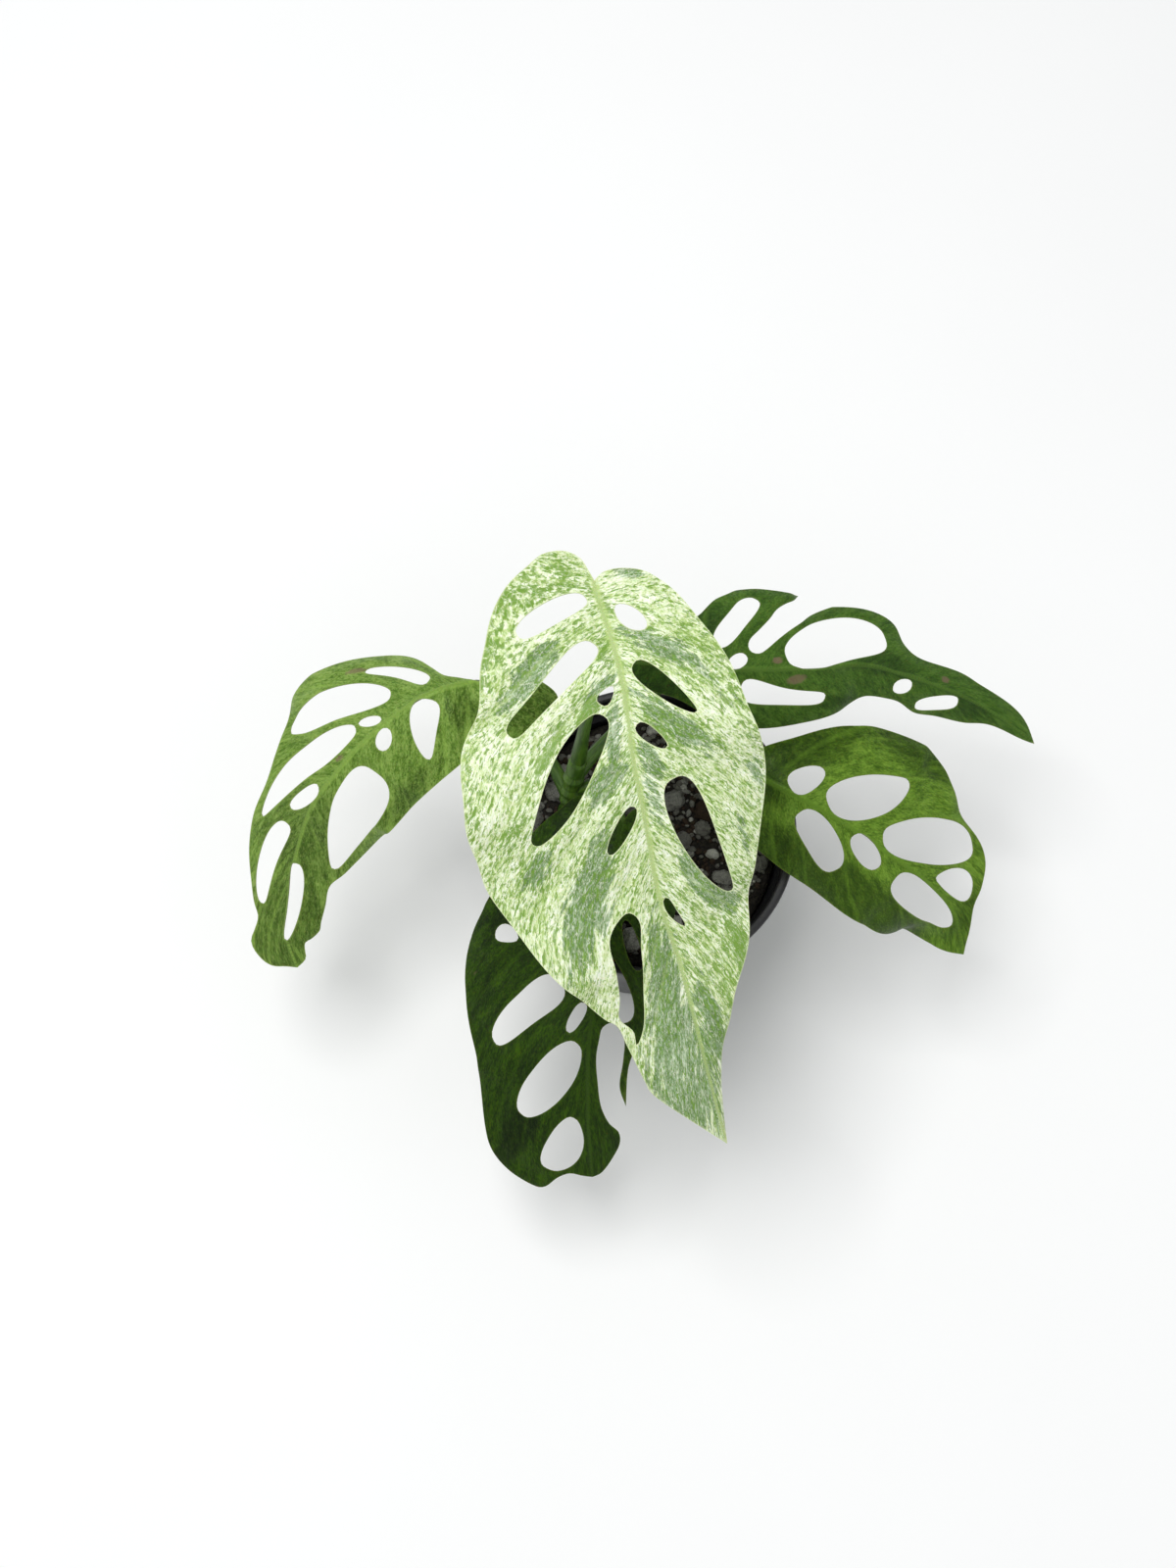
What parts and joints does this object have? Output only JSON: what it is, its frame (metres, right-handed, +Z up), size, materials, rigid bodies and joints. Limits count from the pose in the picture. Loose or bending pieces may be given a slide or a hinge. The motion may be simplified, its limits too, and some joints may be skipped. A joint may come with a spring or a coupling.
{
  "type": "potted monstera adansonii",
  "caption": "Potted climbing foliage plant: thin oval drooping leaf blades with slotted holes on slender stalks, one pale and the rest green, in a round tapered nursery pot.",
  "frame": {"origin": "middle of the pot's flat base, on the surface it stands on", "axes": "+Z up along the pot's axis; -Y towards the side to which the leaf tips hang; +X to the right seen from there"},
  "size_m": [0.2568, 0.1827, 0.1829],
  "materials": {
    "pot_plastic": "satin",
    "potting_mix": "rough",
    "stem_green": "satin",
    "leaf_cream": "satin",
    "leaf_mid_green": "satin",
    "leaf_dark_green": "satin",
    "leaf_moss_green": "satin",
    "leaf_deep_green": "satin"
  },
  "bodies": {
    "root": {"pot": "pot_plastic", "soil": "potting_mix", "stems": "stem_green", "leaf_pale_top": "leaf_cream", "leaf_left": "leaf_mid_green", "leaf_upper_right": "leaf_dark_green", "leaf_right": "leaf_moss_green", "leaf_front": "leaf_deep_green"}
  },
  "joints": []
}
